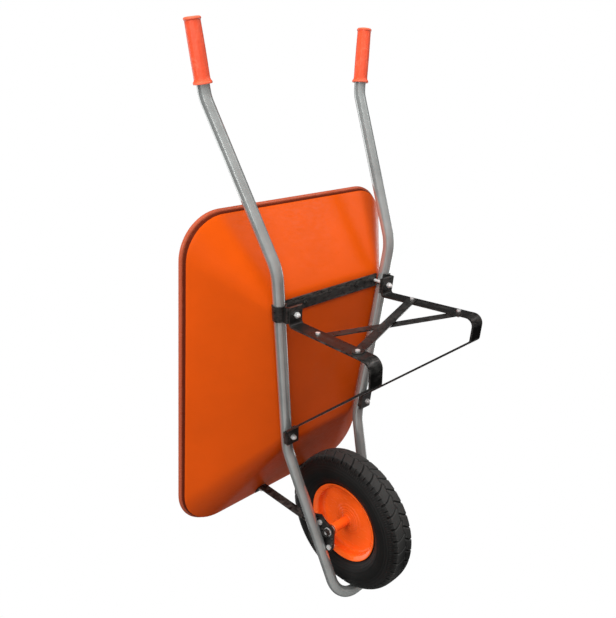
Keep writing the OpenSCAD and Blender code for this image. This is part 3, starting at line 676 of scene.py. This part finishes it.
def tyre_mesh():
    """Tyre: curved bars from both shoulders to a wavy middle groove, notches, shoulder ribs and wall rings."""
    n = 720
    # (radius, x) from the bead over one wall to the crown
    side = [(SEAT + 0.3, 20.5), (SEAT + 0.3, 22.0), (LIP - 5.2, 25.5), (LIP - 1.2, 26.6), (LIP + 0.3, 27.2),
            (LIP + 1.0, 27.8)]
    for q in np.linspace(0, 1, 40):
        side.append((LIP + 2 + (R - LIP - 9) * q, HALF_W * math.sin(math.pi * (0.14 + 0.72 * q)) ** 0.6))
    edge = side[-1][1]
    # the crown, a smooth arc from the last wall point to the middle
    for t in np.linspace(0, 1, 30)[1:]:
        a = t * math.pi / 2
        side.append((R - 7 + 7 * math.sin(a) ** 0.62, edge * math.cos(a) ** 0.80 if t < 1 else 0.0))
    prof = np.array(side + [(r, -x) for r, x in reversed(side[:-1])])
    m = len(prof)
    A = (np.arange(n) * TAU / n)[:, None]
    # outward normals of the profile
    d = np.gradient(prof, axis=0)
    nr, nx = -d[:, 1], d[:, 0]
    ln = np.hypot(nr, nx)
    nr, nx = nr / ln, nx / ln
    P, X = prof[:, 0][None, :], prof[:, 1][None, :]
    ax = np.abs(X)
    hand = np.where(X >= 0, 1.0, -1.0)
    pitch = TAU / BARS
    # bars lean back from the middle and straighten at the shoulder; the two sides are half a bar apart
    span = np.clip(ax / 40.0, 0, 1)
    lean = 0.46 * np.sin(span * math.pi * 0.62)
    ph = (A / pitch + np.where(hand > 0, 0.0, 0.5) + lean) % 1.0
    down = R - P
    width = 2.3 + 1.0 * np.clip(down / 12, 0, 1)
    bars = np.clip(width - near(ph, pitch), 0, 1)
    # narrow wavy groove in the middle
    middle = np.clip((2.0 - np.abs(X - 2.2 * np.sin(A / pitch * TAU))) / 0.9, 0, 1)
    # notch in the end of every bar
    notch = np.clip((1.3 - near((ph + 0.5) % 1.0, pitch)) / 0.8, 0, 1) * np.clip((down - 3.0) / 1.5, 0, 1)
    tread = np.clip((14.0 - down) / 2.5, 0, 1)
    depth = np.maximum.reduce([bars * BAR_DEPTH, middle * MIDDLE_DEPTH, notch * NOTCH_DEPTH]) * tread
    # step between tread and sidewall, fine shoulder ribs, and raised lines on the wall
    wall = (ax > 24) & (P > LIP + 2)
    ribs = np.clip(1.3 - np.abs(down - 20.0) / 4.2, 0, 1)
    rib = 0.9 * ribs * (0.5 + 0.5 * np.cos(A * 180)) ** 1.5 * wall
    line = 1.1 * ring_line(down - 27.5, 1.1) + 0.5 * ring_line(down - 34, 1.0)
    line = line + 0.9 * ring_line(P - (LIP + 9), 1.3) + 0.5 * ring_line(P - (LIP + 15), 1.2)
    h = -depth + np.maximum(rib, line * wall) - 0.6 * ((down > 14.5) & (down < 60))
    rr = P + h * nr[None, :]
    xx = np.clip(X + h * nx[None, :], -HALF_W, HALF_W)
    v = np.stack([xx + 0 * A, rr * np.cos(A), rr * np.sin(A)], -1).reshape(-1, 3)
    return v * MM + AXLE, grid_faces(n, m, True, False)


v, f = tyre_mesh()
place(mesh_object("tyre_moulded", v, f, 38), "wheel", MATS["tyre"], "tyre")

# One rim half as (radius, x): out along the dish and its ripples, over the lip, and back inside
HUB = 13.0
section = [
    (HUB + 0.1, 9.0), (HUB + 0.1, 15.5), (HUB + 3, 15.0), (HUB + 5, 11.4), (21, 11.6), (24, 10.0), (27, 10.6),
    (30, 8.6), (33, 9.1), (37, 6.8), (41, 7.0), (46, 4.9), (60, 4.0),
    (SEAT - 12, 2.9), (SEAT - 5.5, 4.2), (SEAT - 2.6, 9), (SEAT - 2.2, 24.5),
    (LIP - 6, 29.3), (LIP - 2.6, 31.2), (LIP - 0.6, 31.1), (LIP, 29.6), (LIP - 0.7, 27.7), (LIP - 5, 26),
    (SEAT, 22.5), (SEAT, 7), (SEAT - 2.5, 2.0), (SEAT - 8, 0.1), (60, 2.0), (40, 4.4), (24, 9.0),
]
round_by = [0, 1, 1.5, 2, 2, 2, 2, 2, 2, 2, 3, 4, 10, 8, 4, 6, 4, 2.5, 1, 1, 1, 1, 3, 2, 3, 2, 4, 10, 6, 3]
prof = fillet(section, round_by, 5)
for side, name in ((1, "left"), (-1, "right")):
    v, f = revolve([(r, x * side) for r, x in prof], 144)
    ob = mesh_object(f"rim_{name}_pressed", v, f, 50)
    place(ob, "wheel", MATS["rim_paint"], f"rim_{name}")

# ------------------------------------------------------------------ carried-over CAD nodes, with rounded edges

WHEEL = frame["record"]["behaviour"]["bodies"]["wheel"]
for node in frame["nodes"]:
    if frame["nodes"][node].hide_render:
        continue
    small = SLOT[node] in ("bolt_steel", "bush", "cap", "butyl")
    polish(node, 0.35 if small else 0.6, 30, "wheel" if node in WHEEL else "chassis")

# ------------------------------------------------------------------ stage, light, camera


def aim(ob, target):
    """Point a light's -Z at a place."""
    ob.rotation_euler = (Vector(target) - ob.location).to_track_quat("-Z", "Y").to_euler()


def area(name, at, target, size, power, seen=True):
    """A square soft box, size in metres and power in watts, that shiny surfaces may or may not reflect."""
    d = bpy.data.lights.new(name, "AREA")
    d.shape = "RECTANGLE"
    d.size = d.size_y = size
    d.energy = power
    ob = bpy.data.objects.new(name, d)
    bpy.context.scene.collection.objects.link(ob)
    ob.location = at
    ob.visible_glossy = seen
    aim(ob, target)


CAM_AT = rail([[1184.4, 516.0, -1061.8]])[0]
mid = (Vector(cad_box[0]) + Vector(cad_box[1])) / 2
# A soft box whose reflection runs down the middle of the near handle
start, stop = (Vector(q) for q in rail([GRIP_BEND, REAR_BEND]))
along, half = (stop - start).normalized(), (start + stop) / 2
to_camera = (Vector(CAM_AT) - half).normalized()
mirrored = half + 3.0 * (to_camera - 2 * along * to_camera.dot(along))
area("key", mid + Vector((1.3, 3.0, -0.45)), mid, 2.8, 195, seen=False)
area("left", mid + Vector((3.0, -1.1, 0.9)), mid, 1.8, 40, seen=False)
area("right", mid + Vector((-3.2, -0.8, 0.6)), mid, 1.8, 32)
area("tube_line", mirrored, half, 0.9, 12)
area("sheen", mid + Vector((-2.2, 2.3, -1.2)), mid + Vector((0.3, 0.2, 0.1)), 0.9, 16)
area("glint", mid + Vector((2.9, 0.9, -0.7)), mid, 0.3, 7)
area("right_card", mid + Vector((-2.0, -1.0, -2.0)), mid, 1.8, 4)
area("overhead", mid + Vector((0.6, -0.8, 3.4)), mid, 3.0, 45)
area("front", mid + Vector((-2.0, -3.0, 2.4)), mid, 2.0, 14)

# A pale floor, seen from above only: the camera of the photograph is below it
REACH = 9
floor = mesh_object("floor", [(-REACH, -REACH, 0), (REACH, -REACH, 0), (REACH, REACH, 0), (-REACH, REACH, 0)],
                    [(0, 1, 2, 3)])
if floor.data.polygons[0].normal.z < 0:
    floor.data.flip_normals()
floor.location.z = -0.0005
fm = bpy.data.materials.new("floor_pale")
fm.use_nodes = True
t = fm.node_tree
t.nodes.clear()
geometry = t.nodes.new("ShaderNodeNewGeometry")
pale = t.nodes.new("ShaderNodeBsdfDiffuse")
pale.inputs["Color"].default_value = (0.62, 0.62, 0.61, 1)
clear = t.nodes.new("ShaderNodeBsdfTransparent")
one_sided = t.nodes.new("ShaderNodeMixShader")
t.links.new(geometry.outputs["Backfacing"], one_sided.inputs[0])
t.links.new(pale.outputs[0], one_sided.inputs[1])
t.links.new(clear.outputs[0], one_sided.inputs[2])
t.links.new(one_sided.outputs[0], t.nodes.new("ShaderNodeOutputMaterial").inputs["Surface"])
floor.data.materials.append(fm)
floor.visible_shadow = False

# A white background that gives only a little light
world = bpy.data.worlds.new("studio")
bpy.context.scene.world = world
world.use_nodes = True
t = world.node_tree
t.nodes.clear()
path = t.nodes.new("ShaderNodeLightPath")
backdrop = t.nodes.new("ShaderNodeBackground")
backdrop.inputs["Color"].default_value = (1, 1, 1, 1)
lit = t.nodes.new("ShaderNodeBackground")
lit.inputs["Color"].default_value = (0.93, 0.96, 1.0, 1)
lit.inputs["Strength"].default_value = 0.05
by_ray = t.nodes.new("ShaderNodeMixShader")
t.links.new(path.outputs["Is Camera Ray"], by_ray.inputs[0])
t.links.new(lit.outputs[0], by_ray.inputs[1])
t.links.new(backdrop.outputs[0], by_ray.inputs[2])
t.links.new(by_ray.outputs[0], t.nodes.new("ShaderNodeOutputWorld").inputs["Surface"])
bpy.context.scene.view_settings.view_transform = "Standard"

# Camera: the photograph looks at the underside, with the handles up. Its axes are in the rails' frame.
FOCAL_PX, IMAGE_PX, SENSOR_MM = 669.57, 616.0, 36.0
CAM_RIGHT = [-0.71430153, 0.06032291, -0.69723344]
CAM_DOWN = [0.22983609, -0.92079854, -0.31512764]
CAM_FORWARD = [-0.66102094, -0.38534556, 0.64386342]
cam = bpy.data.cameras.new("camera")
cam.sensor_fit = "HORIZONTAL"
cam.sensor_width = SENSOR_MM
cam.lens = SENSOR_MM * FOCAL_PX / IMAGE_PX
cam.clip_start, cam.clip_end = 0.05, 50.0
camera = bpy.data.objects.new("camera", cam)
bpy.context.scene.collection.objects.link(camera)
axes = [RAIL_TO_ROW @ np.array(a) for a in (CAM_RIGHT, CAM_DOWN, CAM_FORWARD)]
m = Matrix.Identity(4)
for i in range(3):
    m[i][0], m[i][1], m[i][2] = axes[0][i], -axes[1][i], -axes[2][i]
    m[i][3] = CAM_AT[i]
camera.matrix_world = m
bpy.context.scene.camera = camera
